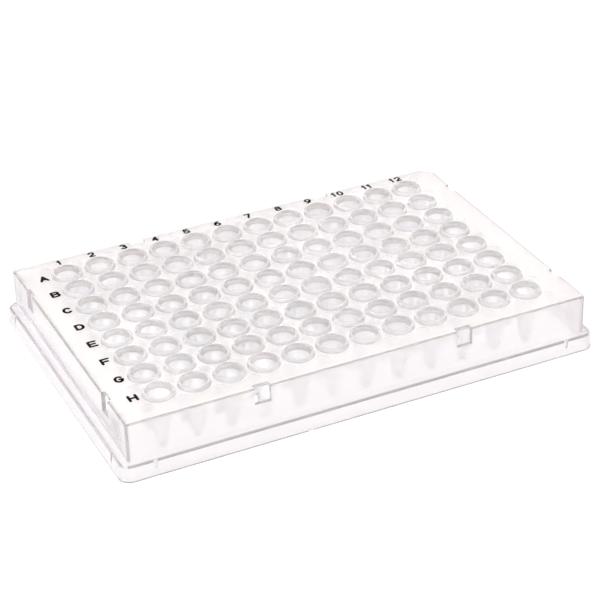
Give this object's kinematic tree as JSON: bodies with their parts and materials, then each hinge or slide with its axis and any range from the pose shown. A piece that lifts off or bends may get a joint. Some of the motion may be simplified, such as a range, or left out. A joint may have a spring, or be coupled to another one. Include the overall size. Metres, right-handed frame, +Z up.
{
  "type": "well plate",
  "caption": "Low-profile clear PCR well plate with conical tubes, raised rims, a full skirt on a foot flange, small windows at the deck's edge and one chamfered corner.",
  "frame": {"origin": "on the standing surface, under the centre of the footprint", "axes": "+X along the long side from the first to the last column, +Y across towards the first row (A), +Z up through the deck"},
  "size_m": [0.1278, 0.0854, 0.0157],
  "materials": {
    "clear_polypropylene": "clear, slightly milky moulded polypropylene with a soft gloss",
    "print_ink": "black printed letters and numbers, matt"
  },
  "bodies": {
    "root": {"well_plate": "clear_polypropylene"}
  },
  "joints": []
}
